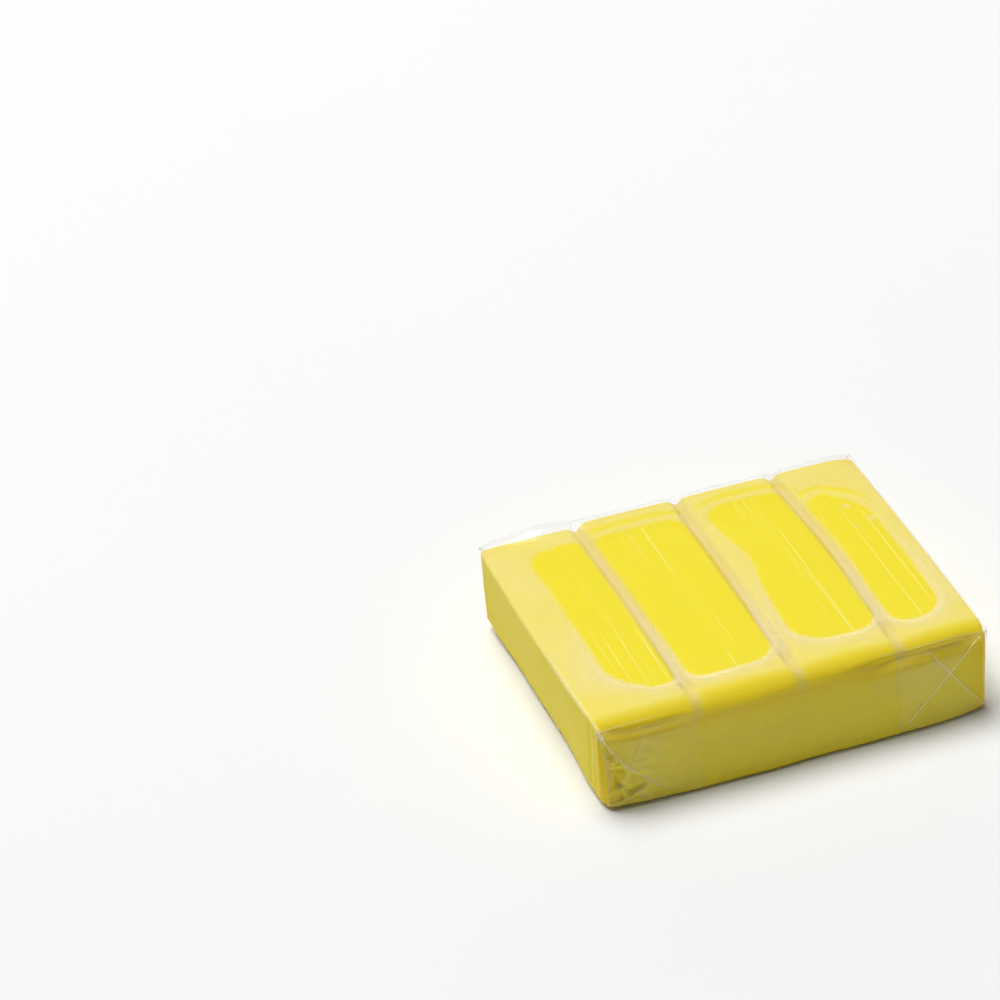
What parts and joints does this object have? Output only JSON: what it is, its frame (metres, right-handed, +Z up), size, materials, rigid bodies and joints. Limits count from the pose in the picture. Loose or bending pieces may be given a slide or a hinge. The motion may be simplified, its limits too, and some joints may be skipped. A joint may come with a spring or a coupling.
{
  "type": "clay bar",
  "caption": "Detailing clay bar scored across its top into break-off portions, in a clear film wrapper folded like an envelope at both ends, with a top flap that lifts at each end.",
  "frame": {"origin": "centre of the underside of the wrapped bar", "axes": "+X along the bar's length, across the scores, +Y along the scores towards the back end, +Z up"},
  "size_m": [0.071, 0.06, 0.017],
  "materials": {
    "clay": "dense sticky clay, satin",
    "film": "clear glossy wrapping film"
  },
  "bodies": {
    "wrapped_bar": {"clay_portion_1": "clay", "clay_portion_2": "clay", "clay_portion_3": "clay", "clay_portion_4": "clay", "film_sleeve": "film", "film_seam_lap": "film", "front_left_tuck": "film", "front_right_tuck": "film", "front_bottom_flap": "film", "back_left_tuck": "film", "back_right_tuck": "film", "back_bottom_flap": "film"},
    "front_flap": {"front_top_flap": "film"},
    "back_flap": {"back_top_flap": "film"}
  },
  "joints": [
    {"name": "front_flap_fold", "type": "hinge", "parent": "wrapped_bar", "child": "front_flap", "pos_m": [0, -0.03, 0.0159], "axis": [-1, 0, 0], "range_deg": [0, 170]},
    {"name": "back_flap_fold", "type": "hinge", "parent": "wrapped_bar", "child": "back_flap", "pos_m": [0, 0.03, 0.017], "axis": [1, 0, 0], "range_deg": [0, 170]}
  ]
}
